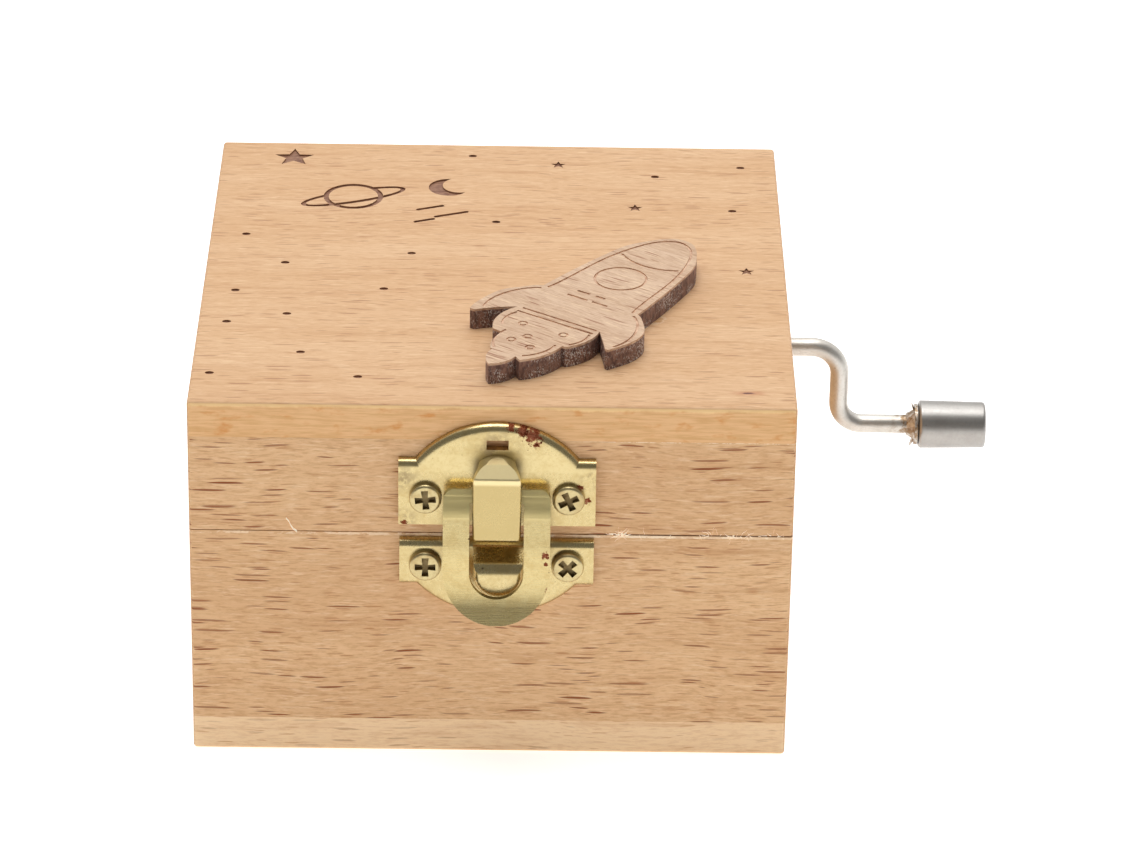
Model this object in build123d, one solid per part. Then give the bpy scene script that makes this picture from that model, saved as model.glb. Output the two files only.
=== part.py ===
from build123d import *
import math
import os

# Hand-crank wooden music box. Millimetres, +Z up, origin at the centre of the
# underside, -Y towards the latch, +X towards the crank.

# ---------------------------------------------------------------- driving sizes
WIDTH = 64.0                # along X, without the crank
DEPTH = 67.0                # along Y, without latch and hinges
HEIGHT = 42.0               # closed box, without the ornament
PANEL = 4.0                 # bottom and top boards
WALL = 5.5                  # upright boards
SEAM_Z = 26.9               # parting plane between base and lid
SEAM_GAP = 0.1
EDGE = 0.4                  # rounding of the outer arrises
ENGRAVE = 0.2               # depth of the burnt marks

FRONT_Y = -DEPTH / 2
BACK_Y = DEPTH / 2
INNER_X = WIDTH / 2 - WALL
INNER_Y = DEPTH / 2 - WALL
BASE_TOP = SEAM_Z - SEAM_GAP / 2
LID_BOTTOM = SEAM_Z + SEAM_GAP / 2
LID_CEILING = HEIGHT - PANEL

ORNAMENT_X = 13.9           # rocket's axis, abreast of its porthole
ORNAMENT_Y = -7.4
ORNAMENT_TURN = 55.5        # degrees from +X to the rocket's nose
ORNAMENT_THICK = 2.4
ORNAMENT_LINE = 0.28
ORNAMENT_ENGRAVE = 0.15

LATCH_X = 0.6               # the latch sits a little off centre
PLATE = 1.0                 # height of the pressed latch plates
SHEET = 0.6                 # brass sheet of the ring
PLATE_RIM = 0.9             # rolled rims of the latch plates
PLATE_SHOULDER = 1.8        # flat top of each ear
UPPER_HALF = 10.4
LOWER_HALF = 10.3
SHANK_HOLE_R = 1.0
TONGUE_HALF = 2.55
TONGUE_P = 3.95             # tongue's face, out from the front wall
RING_HALF = 5.65
RING_HOLE_HALF = 2.87
RING_PIVOT_P = 2.35         # ring pivot, out from the front wall
RING_PIVOT_Z = 32.65
CATCH_P = 3.8               # face of the catch, out from the front wall
CATCH_HALF = 2.75
CATCH_SHIFT = 0.2
SCREW_X = 7.55              # latch screws, each side of the latch centre
UPPER_SCREW_Z = 31.7
LOWER_SCREW_Z = 23.65
HEAD_R = 1.72
HEAD_HIGH = 0.8
LATCH_PILOT = (0.75, 4.6)   # pilot hole radius and depth

HINGE_AXIS_Y = BACK_Y + 1.15
HINGE_X = 19.0
LEAF_WIDTH = 14.0
LEAF_HEIGHT = 7.3
LEAF_THICK = 0.6
KNUCKLES = 5
KNUCKLE_R = 1.0
HINGE_PIN_R = 0.5
HEEL_REACH = 3.2            # stop heel that meets the base leaf when the lid is open
HEEL_LIFT = 12.0            # degrees
HINGE_SCREW_DX = 4.6
HINGE_SCREW_DZ = 5.0
HINGE_PILOT = (0.52, 4.2)

CRANK_Y = 19.9
CRANK_Z = 23.0
CRANK_HOLE_R = 2.2
WIRE_R = 1.08
THROW = 9.85
ARM_X = 39.85
INNER_BEND = 3.4
OUTER_BEND = 2.8
SPIGOT_R = 0.75
SPIGOT_DEPTH = 4.5
KNOB_X0 = 49.25
KNOB_LENGTH = 7.75
KNOB_R = 2.8                # at the arm's side, tapering to KNOB_END_R
KNOB_END_R = 2.66
KNOB_ROUND = 0.35
KNOB_BORE_CLEARANCE = 0.07

CYL_X = 4.0                 # pinned cylinder axis runs along Y
CYL_Z = 15.0
CYL_Y0 = -9.5
CYL_Y1 = 11.5
CYL_R = 6.5
TUBE_WALL = 0.6
PIN_R = 0.17
PIN_REACH = 0.55
ARBOR_R = 1.0
RUNNING = 0.05              # radial clearance of the bearings

MODULE = 0.6
WHEEL_TEETH = 20
WHEEL_WIDTH = 2.2
BACKLASH = 0.24
ADDENDUM = 0.5
DEDENDUM = 0.68
CENTRES = CRANK_Z - CYL_Z
WHEEL_R = MODULE * WHEEL_TEETH / 2
WORM_R = CENTRES - WHEEL_R
WORM_PITCH = math.pi * MODULE
WORM_TURNS = 5
WORM_HALF = WORM_TURNS * WORM_PITCH / 2
JOURNAL_R = 1.25

BED_TOP = PANEL + 2.2       # cast frame of the movement
BED_X = (-24.5, 20.0)
BED_Y = (-14.5, 23.5)
FRONT_POST = (-13.6, -11.4) # bearing posts: the span of each along its shaft
REAR_POST = (13.0, 15.2)
LEFT_POST = (-6.4, -4.0)
RIGHT_POST = (11.6, 14.0)
CYL_POST_HALF = 3.2
CRANK_POST_HALF = 2.6
BUSH_R = 1.9

COMB_TEETH = 18
COMB_PITCH = 1.05
COMB_Y = 1.0
COMB_TOP = CYL_Z + 0.45
COMB_THICK = 0.9
TOOTH_THICK = 0.5
TOOTH_SLOT = 0.16
COMB_TIP_GAP = 0.08
COMB_BACK_X = -24.0
BASS_ROOT_X = -17.0
TREBLE_ROOT_X = -12.0
COMB_SCREW_X = -21.0

FRONT = Plane(origin=(LATCH_X, FRONT_Y, 0), x_dir=(1, 0, 0), z_dir=(0, -1, 0))
SIDE = Plane(origin=(LATCH_X, FRONT_Y, 0), x_dir=(0, -1, 0), z_dir=(-1, 0, 0))


# ---------------------------------------------------------------- small helpers
def block(x, y, z):
    """Box from (low, high) pairs along each axis."""
    size = [high - low for low, high in (x, y, z)]
    centre = [(low + high) / 2 for low, high in (x, y, z)]
    return Pos(*centre) * Box(*size)


def rod_x(radius, x0, x1, y, z):
    return Pos((x0 + x1) / 2, y, z) * Rot(0, 90, 0) * Cylinder(radius, x1 - x0)


def rod_y(radius, y0, y1, x, z):
    return Pos(x, (y0 + y1) / 2, z) * Rot(90, 0, 0) * Cylinder(radius, y1 - y0)


def rod_z(radius, z0, z1, x, y):
    return Pos(x, y, (z0 + z1) / 2) * Cylinder(radius, z1 - z0)


def outer_arrises(board):
    """Edges of a board that lie on two outer faces of the closed box."""
    found = []
    for edge in board.edges():
        c = edge.center()
        on_faces = [
            abs(abs(c.X) - WIDTH / 2) < 1e-6,
            abs(abs(c.Y) - DEPTH / 2) < 1e-6,
            abs(c.Z) < 1e-6 or abs(c.Z - HEIGHT) < 1e-6,
        ]
        if sum(on_faces) >= 2:
            found.append(edge)
    return found


def soften(board):
    return fillet(outer_arrises(board), EDGE)


def write(name, shape):
    shape.label = name
    export_step(shape, f"parts/{name}.step")


def group(name, solids):
    write(name, Compound(children=[s.solid() for s in solids]))


# ---------------------------------------------------------------- wooden boards
def bed_screw_spots():
    return [(-20.0, -11.0), (-20.0, 18.0), (16.0, -8.0)]


def bottom_panel():
    board = soften(block((-WIDTH / 2, WIDTH / 2), (FRONT_Y, BACK_Y), (0, PANEL)))
    for x, y in bed_screw_spots():
        board -= rod_z(1.15, -1, PANEL + 1, x, y)
        board -= rod_z(2.5, -1, 1.6, x, y)
    return board


def front_back_wall(side, z0, z1):
    y = (FRONT_Y, -INNER_Y) if side < 0 else (INNER_Y, BACK_Y)
    return soften(block((-WIDTH / 2, WIDTH / 2), y, (z0, z1)))


def side_wall(side, z0, z1):
    x = (-WIDTH / 2, -INNER_X) if side < 0 else (INNER_X, WIDTH / 2)
    return block(x, (-INNER_Y, INNER_Y), (z0, z1))


def pilot_holes(wall, spots, y0, y1, radius):
    for x, z in spots:
        wall -= rod_y(radius, y0, y1, x, z)
    return wall


def latch_screw_spots(z):
    return [(LATCH_X - SCREW_X, z), (LATCH_X + SCREW_X, z)]


def hinge_screw_spots(dz):
    spots = []
    for side in (-1, 1):
        for dx in (-HINGE_SCREW_DX, HINGE_SCREW_DX):
            spots.append((side * HINGE_X + dx, SEAM_Z + dz))
    return spots


def star(radius, x, y, turn=0.0):
    points = []
    for k in range(10):
        r = radius if k % 2 == 0 else radius * 0.42
        a = math.radians(90 + turn + 36 * k)
        points.append((x + r * math.cos(a), y + r * math.sin(a)))
    return make_face(Polyline(*points, close=True))


def ringed_planet(x, y, radius, stroke):
    disc = Pos(x, y) * (Circle(radius) - Circle(radius - stroke))
    long_axis = radius * 1.85
    short_axis = radius * 0.52
    tilt = Pos(x, y) * Rot(0, 0, 22)
    band = tilt * (Ellipse(long_axis, short_axis) - Ellipse(long_axis - stroke, short_axis - stroke))
    behind = tilt * (Pos(0, short_axis) * Rectangle(2 * long_axis, 2 * short_axis))
    hidden = behind & (Pos(x, y) * Circle(radius - stroke / 2))
    front_of_disc = band - behind
    return disc + (band - hidden) + front_of_disc


def crescent(x, y, radius):
    moon = Circle(radius) - Pos(radius * 0.55, radius * 0.25) * Circle(radius * 0.86)
    return Pos(x, y) * moon


def lid_marks():
    """Burnt marks on the top: one large star, three small ones, dots and a planet."""
    marks = [star(2.4, -23.6, 29.2)]
    marks += [star(0.95, 6.9, 28.0), star(0.95, 15.6, 16.4), star(0.95, 27.7, 0.0)]
    dots = [
        (-28.0, 8.2), (-23.3, 0.9), (-9.4, 3.7), (-28.4, -6.3), (-12.2, -5.5),
        (-22.5, -12.0), (-28.9, -14.1), (-20.6, -21.3), (-30.0, -26.5), (-14.3, -27.0),
        (-3.0, 30.2), (-0.1, 12.2), (18.0, 25.0), (27.9, 27.8), (26.6, 15.9),
    ]
    marks += [Pos(x, y) * Ellipse(0.48, 0.34) for x, y in dots]
    marks.append(ringed_planet(-16.4, 18.6, 3.4, 0.6))
    marks.append(crescent(-5.6, 21.4, 2.3))
    for x, y, length in ((-7.6, 15.8, 3.4), (-5.2, 14.1, 4.2), (-8.2, 12.4, 2.6)):
        marks.append(Pos(x, y) * Rot(0, 0, 22) * SlotOverall(length, 0.5))
    return marks


def lid_panel():
    board = soften(block((-WIDTH / 2, WIDTH / 2), (FRONT_Y, BACK_Y), (LID_CEILING, HEIGHT)))
    for mark in lid_marks():
        board -= extrude(Pos(0, 0, HEIGHT) * mark, -ENGRAVE)
    return board


# ---------------------------------------------------------------- rocket ornament
def rocket_side(fin, inner, lobes, steps):
    """One side of the outline, from the nose tip to the flame tip, for a nose towards +X."""
    nose = Spline((12.3, 0.0), (11.5, 1.9), (8.6, 3.95), (3.0, 5.3), tangents=[(0, 1), (-1, 0.14)])
    flank = Spline((3.0, 5.3), (-1.5, 5.8), (-6.3, 6.15), tangents=[(-1, 0.14), (-1, 0.05)])
    fin_out = Spline((-6.3, 6.15), *fin, tangents=[(-0.4, 1), (-0.95, -0.3)])
    parts = [nose, flank, fin_out, Line(fin[-1], inner[0]), ThreePointArc(*inner)]
    for arc, step in zip(lobes, steps):
        parts.append(ThreePointArc(*arc))
        parts.append(Line(arc[-1], step))
    return parts + [ThreePointArc(*lobes[-1])]


def rocket_outline():
    """The fins and the flame lobes differ a little from side to side."""
    left = Curve(rocket_side(
        [(-7.8, 7.7), (-9.4, 9.0), (-12.2, 9.6), (-15.6, 9.35)],
        [(-15.6, 8.75), (-14.0, 7.4), (-12.3, 5.4)],
        [[(-12.3, 5.4), (-15.2, 5.85), (-18.2, 4.5)],
         [(-18.3, 3.4), (-20.3, 3.05), (-22.2, 2.0)],
         [(-22.2, 1.75), (-24.2, 1.2), (-25.4, 0.0)]],
        [(-18.3, 3.4), (-22.2, 1.75)]))
    right = Curve(rocket_side(
        [(-7.5, 7.6), (-9.3, 9.0), (-12.0, 9.4), (-15.3, 8.4)],
        [(-15.3, 8.0), (-13.75, 6.65), (-12.2, 5.2)],
        [[(-12.2, 5.2), (-14.9, 5.4), (-17.4, 4.35)],
         [(-17.4, 3.9), (-20.3, 3.6), (-22.8, 2.15)],
         [(-22.3, 1.3), (-24.2, 1.0), (-25.4, 0.0)]],
        [(-17.4, 3.9), (-22.3, 1.3)]))
    return make_face(left.edges() + mirror(right, Plane.XZ).edges())


def rocket_lines():
    """Engraved line work on the rocket's face, in the rocket's own frame."""
    stroke = ORNAMENT_LINE
    body = Spline((-6.4, -5.5), (2.8, -4.6), (8.1, -3.3), (10.8, -1.65), (11.55, 0.0),
                  (10.8, 1.65), (8.1, 3.3), (2.8, 4.6), (-6.4, 5.5))
    fin = Spline((-6.9, 6.0), (-8.2, 7.4), (-10.1, 8.4), (-12.5, 8.8), (-14.4, 8.4))
    flame = ThreePointArc((-13.4, 4.7), (-15.2, 4.95), (-16.7, 4.3))
    lobe = ThreePointArc((-17.6, 3.2), (-20.0, 3.0), (-21.8, 1.8))
    lines = [trace(body, stroke)]
    for curve in (fin, flame, lobe):
        lines.append(trace(curve, stroke))
        lines.append(trace(mirror(curve, Plane.XZ), stroke))
    lines.append(trace(ThreePointArc((5.4, 3.7), (4.2, 0), (5.4, -3.7)), stroke))
    lines.append(Pos(0, 0.3) * (Circle(2.95) - Circle(2.95 - stroke)))
    lines += [Pos(-12.2, 0) * Rectangle(stroke, 9.6), Pos(-13.1, 0) * Rectangle(stroke, 9.8)]
    for s, t, length in ((-5.2, 1.6, 1.6), (-5.2, -0.6, 1.2), (-6.6, -1.4, 2.0), (-6.6, 1.5, 2.6)):
        lines.append(Pos(s, t) * Rectangle(0.35, length))
    for s, t in ((-15.3, 2.6), (-15.1, -2.5), (-17.6, 0.4), (-19.2, 1.4), (-19.6, -1.3)):
        lines.append(Pos(s, t) * (Circle(0.55) - Circle(0.33)))
    return lines


def rocket():
    place = Pos(ORNAMENT_X, ORNAMENT_Y, HEIGHT) * Rot(0, 0, ORNAMENT_TURN)
    body = extrude(rocket_outline(), ORNAMENT_THICK)
    for lines in rocket_lines():
        body -= extrude(Pos(0, 0, ORNAMENT_THICK) * lines, -ORNAMENT_ENGRAVE)
    return place * body


# ---------------------------------------------------------------- latch
def plate_blank(half_width, z_ear_low, z_ear_high, z_arch):
    """Plate outline in the front plane: two ears and one arched side."""
    corner = (half_width, z_ear_high)
    inner = half_width - PLATE_SHOULDER
    arch = [(inner, z_ear_high), (0, z_arch), (-inner, z_ear_high)]
    outline = Line((-half_width, z_ear_low), (half_width, z_ear_low))
    outline += Line((half_width, z_ear_low), corner)
    outline += Line(corner, arch[0])
    outline += ThreePointArc(*arch)
    outline += Line(arch[2], (-half_width, z_ear_high))
    outline += Line((-half_width, z_ear_high), (-half_width, z_ear_low))
    return make_face(outline.edges())


def front_face_edges(solid, p, keep):
    """Edges in the plane p out from the front wall, filtered by their centre."""
    found = []
    for edge in solid.edges():
        box = edge.bounding_box()
        flat = abs(box.min.Y - (FRONT_Y - p)) < 1e-4 and abs(box.max.Y - (FRONT_Y - p)) < 1e-4
        if flat and keep(edge.center()):
            found.append(edge)
    return found


def screw_holes(plate, z):
    for x, z_hole in latch_screw_spots(z):
        plate -= rod_y(SHANK_HOLE_R, FRONT_Y - 3, FRONT_Y + 1, x, z_hole)
    return plate


def tongue_plate():
    """Lid plate: its tongue is folded up from the lower edge and tucks in under the slot."""
    z_low = 28.4
    plate = extrude(FRONT * plate_blank(UPPER_HALF, z_low, 35.95, 40.2), PLATE)
    plate = fillet(front_face_edges(plate, PLATE, lambda c: c.Z > z_low + 5), PLATE_RIM)
    plate -= FRONT * (Pos(0, 37.9, 0) * Box(2.32, 1.1, 4))

    crease_z = 35.3
    foot_z = 27.95
    crown_z = 36.75
    wrap = make_face(Polyline(
        (0.5, foot_z), (TONGUE_P, foot_z), (TONGUE_P, crease_z), (2.7, 36.5), (1.4, crown_z),
        (0.5, crown_z), close=True))
    wrap = fillet([v for v in wrap.vertices() if v.X > TONGUE_P - 0.1], 0.35)
    tongue = extrude(SIDE * wrap, TONGUE_HALF, both=True)
    tongue = fillet(front_face_edges(tongue, TONGUE_P, lambda c: abs(c.X - LATCH_X) > 2), 0.4)
    crown = Pos(0, 34.5) * Ellipse(TONGUE_HALF, crown_z - 34.5)
    crown += Pos(0, 31.0) * Rectangle(2 * TONGUE_HALF, 7.0)
    tongue &= extrude(FRONT * crown, 6)
    eye = make_face(Polyline(
        (PLATE, 28.75), (3.47, 28.75), (3.47, 34.7), (2.3, 35.8), (PLATE, 36.05), close=True))
    tongue -= extrude(SIDE * eye, 2 * TONGUE_HALF, both=True)
    return screw_holes(plate + tongue, UPPER_SCREW_Z)


def catch_knob():
    """Pressed catch: a sloping shelf above a flat face, rounded off at its sides and foot."""
    half = CATCH_HALF
    low = 23.7
    front = make_face(
        Polyline((-half, low), (-half, 26.3), (half, 26.3), (half, low)).edges()
        + ThreePointArc((half, low), (0, low - half - 0.2), (-half, low)).edges())
    slope = make_face(Polyline(
        (0.3, 26.1), (1.2, 25.9), (3.15, 24.95), (CATCH_P, 24.2), (CATCH_P, 20.5), (0.3, 20.5),
        close=True))
    slope = fillet([v for v in slope.vertices() if 3 < v.X < CATCH_P and v.Y > 24], 1.0)
    slope = fillet([v for v in slope.vertices() if v.X > CATCH_P - 0.01 and v.Y > 24], 1.4)
    plan = make_face(Polyline(
        (-half, 0), (-half, CATCH_P), (half, CATCH_P), (half, 0), close=True))
    plan = fillet([v for v in plan.vertices() if v.Y > 1], 0.85)
    above = Plane(origin=(LATCH_X, FRONT_Y, 20), x_dir=(1, 0, 0), z_dir=(0, 0, -1))
    knob = extrude(FRONT * front, CATCH_P, taper=3)
    knob = fillet(front_face_edges(knob, CATCH_P, lambda c: c.Z < 26), 0.6)
    knob &= extrude(SIDE * slope, 4, both=True)
    return Pos(CATCH_SHIFT, 0, 0) * (knob & extrude(above * plan, 8, both=True))


def catch_plate():
    """Base plate, which carries the catch."""
    plate = extrude(FRONT * plate_blank(LOWER_HALF, 26.45, 21.0, 17.3), PLATE)
    rims = front_face_edges(plate, PLATE, lambda c: abs(c.X - LATCH_X) < 10)
    plate = fillet(rims, PLATE_RIM)
    return screw_holes(plate + catch_knob(), LOWER_SCREW_Z)


def latch_ring():
    """Sheet ring that swings on the tongue and reaches down over the catch."""
    centre = [(2.0, 33.3), (2.5, 32.38), (3.3, 31.4), (4.2, 26.4), (4.2, 22.6), (5.35, 18.7)]
    path = FilletPolyline(*centre, radius=[3, 3, 12, 14])
    ribbon = extrude(SIDE * trace(path, SHEET), RING_HALF + 1, both=True)
    ribbon += rod_x(SHEET / 2 + 0.02, LATCH_X - RING_HALF, LATCH_X + RING_HALF,
                    FRONT_Y - RING_PIVOT_P, RING_PIVOT_Z)
    body = Pos(0, 28.75) * Rectangle(2 * RING_HALF, 9.2)
    body = fillet([v for v in body.vertices() if v.Y > 30], 1.1)
    outline = body + Pos(0, 24.4) * Circle(RING_HALF)
    hole_top = 32.12
    hole_low = 21.55 + RING_HOLE_HALF
    hole = Pos(0, (hole_top + hole_low) / 2) * Rectangle(2 * RING_HOLE_HALF, hole_top - hole_low)
    hole += Pos(0, hole_low) * Circle(RING_HOLE_HALF)
    return ribbon & extrude(FRONT * (outline - hole), 8)


def cross_screw(x, z, turn):
    """Cross-head screw driven into the front wall; the recess widens towards its arms' ends."""
    axis = Plane(origin=(x, FRONT_Y - PLATE, z), x_dir=(1, 0, 0), z_dir=(0, -1, 0))
    head = Cylinder(HEAD_R, HEAD_HIGH, align=(Align.CENTER, Align.CENTER, Align.MIN))
    head = fillet(head.edges().sort_by(Axis.Z)[-1], 0.35)
    length = LATCH_PILOT[1] + 0.6
    neck = Pos(0, 0, -length / 2) * Cylinder(LATCH_PILOT[0] - 0.03, length)
    petal = make_face(Polyline((0, -0.27), (1.1, -0.38), (1.1, 0.38), (0, 0.27), close=True))
    for quarter in range(4):
        arm = extrude(Pos(0, 0, HEAD_HIGH) * Rot(0, 0, turn + 90 * quarter) * petal, -0.55)
        head -= arm
    return axis * (head + neck)


def latch_screws(z, turns):
    return [cross_screw(x, z_axis, turn) for (x, z_axis), turn in zip(latch_screw_spots(z), turns)]


# ---------------------------------------------------------------- hinges
def knuckle_spans(x_mid):
    pitch = LEAF_WIDTH / KNUCKLES
    spans = []
    for k in range(KNUCKLES):
        start = x_mid - LEAF_WIDTH / 2 + k * pitch
        spans.append((start + 0.05, start + pitch - 0.05))
    return spans


def hinge_leaf(x_mid, up):
    """Leaf on the back wall. up is +1 for the lid and -1 for the base."""
    first = 1 if up > 0 else 0
    own = knuckle_spans(x_mid)[first::2]
    far = SEAM_Z + up * LEAF_HEIGHT
    near = SEAM_Z + up * 1.3
    half = LEAF_WIDTH / 2 - 0.05
    leaf = block((x_mid - half, x_mid + half), (BACK_Y, BACK_Y + LEAF_THICK), sorted((near, far)))
    far_corners = [e for e in leaf.edges().filter_by(Axis.Y) if abs(e.center().Z - far) < 1e-6]
    leaf = fillet(far_corners, 1.0)
    for x0, x1 in own:
        leaf += rod_x(KNUCKLE_R, x0, x1, HINGE_AXIS_Y, SEAM_Z)
        bridge_z = sorted((SEAM_Z + up * 0.1, near))
        leaf += block((x0, x1), (BACK_Y, BACK_Y + LEAF_THICK), bridge_z)
        if up > 0:
            heel = block((x0, x1), (0.6, HEEL_REACH), (-0.25, 0.25))
            leaf += Pos(0, HINGE_AXIS_Y, SEAM_Z) * Rot(HEEL_LIFT, 0, 0) * heel
    bore = HINGE_PIN_R + (RUNNING if up > 0 else 0.01)
    leaf -= rod_x(bore, x_mid - LEAF_WIDTH, x_mid + LEAF_WIDTH, HINGE_AXIS_Y, SEAM_Z)
    for dx in (-HINGE_SCREW_DX, HINGE_SCREW_DX):
        z = SEAM_Z + up * HINGE_SCREW_DZ
        leaf -= rod_y(0.55, BACK_Y - 1, BACK_Y + 2, x_mid + dx, z)
        leaf -= Pos(x_mid + dx, BACK_Y + LEAF_THICK - 0.25, z) * Rot(-90, 0, 0) * Cone(0.55, 1.25, 0.5)
    return leaf


def hinge_pin(x_mid):
    half = LEAF_WIDTH / 2
    pin = rod_x(HINGE_PIN_R, x_mid - half, x_mid + half, HINGE_AXIS_Y, SEAM_Z)
    for end in (-1, 1):
        x = x_mid + end * half
        x0, x1 = sorted((x, x + end * 0.4))
        pin += rod_x(0.75, x0, x1, HINGE_AXIS_Y, SEAM_Z)
    return pin


def hinge_screw(x, z):
    """Countersunk slotted screw driven into the back wall."""
    axis = Plane(origin=(x, BACK_Y + LEAF_THICK, z), x_dir=(1, 0, 0), z_dir=(0, 1, 0))
    head = Pos(0, 0, -0.24) * Cone(0.5, 1.2, 0.48) + Pos(0, 0, 0.05) * Cylinder(1.2, 0.1)
    shank = Pos(0, 0, -2.4) * Cylinder(0.5, 4.6)
    slot = Pos(0, 0, 0.05) * Box(2.6, 0.35, 0.5)
    return axis * (head + shank - slot)


# ---------------------------------------------------------------- movement frame
def bearing_post(x, y, z_top):
    return block(x, y, (BED_TOP - 0.2, z_top))


def bedplate():
    """Cast frame: floor plate, comb ledge and four bearing posts."""
    frame = block(BED_X, BED_Y, (PANEL, BED_TOP))
    frame = fillet(frame.edges().filter_by(Axis.Z), 2.0)
    ledge_y = (COMB_Y - 10.2, COMB_Y + 10.2)
    frame += block((BED_X[0], BASS_ROOT_X), ledge_y, (BED_TOP - 0.2, COMB_TOP - COMB_THICK))
    across = (CYL_X - CYL_POST_HALF, CYL_X + CYL_POST_HALF)
    for post in (FRONT_POST, REAR_POST):
        frame += bearing_post(across, post, CYL_Z + 3.0)
    across = (CRANK_Y - CRANK_POST_HALF, CRANK_Y + CRANK_POST_HALF)
    for post in (LEFT_POST, RIGHT_POST):
        frame += bearing_post(post, across, CRANK_Z + CRANK_POST_HALF)
    frame -= rod_y(BUSH_R, -20, 18, CYL_X, CYL_Z)
    frame -= rod_x(BUSH_R, -15, 18, CRANK_Y, CRANK_Z)
    for x, y in bed_screw_spots():
        frame -= rod_z(0.95, 0, BED_TOP + 1, x, y)
    for y in comb_screw_rows():
        frame -= rod_z(0.75, COMB_TOP - 6, COMB_TOP, COMB_SCREW_X, y)
    return frame


def bush(axis_rod, inner, span, a, b):
    return axis_rod(BUSH_R, span[0] - 0.2, span[1] + 0.2, a, b) - axis_rod(
        inner + RUNNING, span[0] - 1, span[1] + 1, a, b)


def bed_screws():
    screws = []
    for x, y in bed_screw_spots():
        head = rod_z(2.2, 0.35, 1.6, x, y)
        slot = block((x - 3, x + 3), (y - 0.25, y + 0.25), (0.2, 0.75))
        screws.append(head + rod_z(0.92, 1.6, BED_TOP - 0.3, x, y) - slot)
    return screws


# ---------------------------------------------------------------- comb
def comb_tip_x():
    return CYL_X - (CYL_R + PIN_REACH + COMB_TIP_GAP)


def comb_low_y():
    return COMB_Y - COMB_TEETH * COMB_PITCH / 2


def comb_screw_rows():
    return (COMB_Y - 6.5, COMB_Y, COMB_Y + 6.5)


def comb():
    """Steel comb: bass teeth are long and lie at the +Y side."""
    low = comb_low_y()
    high = low + COMB_TEETH * COMB_PITCH
    heel = make_face(Polyline((COMB_BACK_X, low), (TREBLE_ROOT_X, low), (BASS_ROOT_X, high),
                              (COMB_BACK_X, high), close=True))
    plate = extrude(Pos(0, 0, COMB_TOP - COMB_THICK) * heel, COMB_THICK)
    reeds = block((BASS_ROOT_X - 1, comb_tip_x()), (low, high), (COMB_TOP - TOOTH_THICK, COMB_TOP))
    plate += reeds
    for k in range(1, COMB_TEETH):
        y = low + k * COMB_PITCH
        root = TREBLE_ROOT_X + (BASS_ROOT_X - TREBLE_ROOT_X) * k / COMB_TEETH
        slot_y = (y - TOOTH_SLOT / 2, y + TOOTH_SLOT / 2)
        plate -= block((root, 0), slot_y, (COMB_TOP - 2, COMB_TOP + 1))
    for y in comb_screw_rows():
        plate -= rod_z(0.9, COMB_TOP - 2, COMB_TOP + 1, COMB_SCREW_X, y)
    return plate


def bass_weights():
    """Lead blocks soldered under the tips of the lower notes."""
    weights = []
    for k in range(10, COMB_TEETH):
        y = comb_low_y() + (k + 0.5) * COMB_PITCH
        length = 1.2 + 0.22 * (k - 9)
        x1 = comb_tip_x() - 0.3
        z1 = COMB_TOP - TOOTH_THICK
        weights.append(block((x1 - length, x1), (y - 0.36, y + 0.36), (z1 - 1.5, z1)))
    return weights


def comb_screws():
    screws = []
    for turn, y in zip((20, 65, -30), comb_screw_rows()):
        head = rod_z(1.6, COMB_TOP, COMB_TOP + 1.1, COMB_SCREW_X, y)
        head = chamfer(head.edges().sort_by(Axis.Z)[-1], 0.2)
        slot = Pos(COMB_SCREW_X, y, COMB_TOP + 1.1) * Rot(0, 0, turn) * Box(4, 0.4, 0.9)
        screws.append(head + rod_z(0.72, COMB_TOP - 5.5, COMB_TOP, COMB_SCREW_X, y) - slot)
    return screws


# ---------------------------------------------------------------- cylinder
def cylinder_tube():
    outer = rod_y(CYL_R, CYL_Y0, CYL_Y1, CYL_X, CYL_Z)
    return outer - rod_y(CYL_R - TUBE_WALL, CYL_Y0 - 1, CYL_Y1 + 1, CYL_X, CYL_Z)


def melody_steps():
    """A plain rising and falling arpeggio: (comb tooth, degrees) pairs."""
    beats = 48
    beat_angle = 360.0 / beats
    notes = []
    for beat in range(beats):
        angle = beat_angle * (beat + 0.5)
        swing = min(beat, beats - beat) * 17 // 24
        notes.append((swing, angle))
        if beat % 2 == 0:
            notes.append(((swing + 5) % COMB_TEETH, angle))
        if beat % 3 == 1:
            notes.append(((swing + 12) % COMB_TEETH, angle))
        if beat % 4 == 0:
            notes.append((COMB_TEETH - 1 - (beat // 4) % 5, angle))
        if beat % 8 == 3:
            notes.append(((swing + 9) % COMB_TEETH, angle + beat_angle / 2))
    return sorted(set(notes))


def melody_pins():
    pins = []
    length = TUBE_WALL + PIN_REACH
    middle = CYL_R + PIN_REACH - length / 2
    for tooth, angle in melody_steps():
        y = comb_low_y() + (tooth + 0.5) * COMB_PITCH
        pin = Pos(middle, 0, 0) * Rot(0, 90, 0) * Cylinder(PIN_R, length)
        pins.append(Pos(CYL_X, y, CYL_Z) * Rot(0, angle, 0) * pin)
    return pins


def cylinder_cap(y0, y1):
    cap = rod_y(CYL_R - TUBE_WALL, y0, y1, CYL_X, CYL_Z)
    return cap - rod_y(ARBOR_R, y0 - 1, y1 + 1, CYL_X, CYL_Z)


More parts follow.
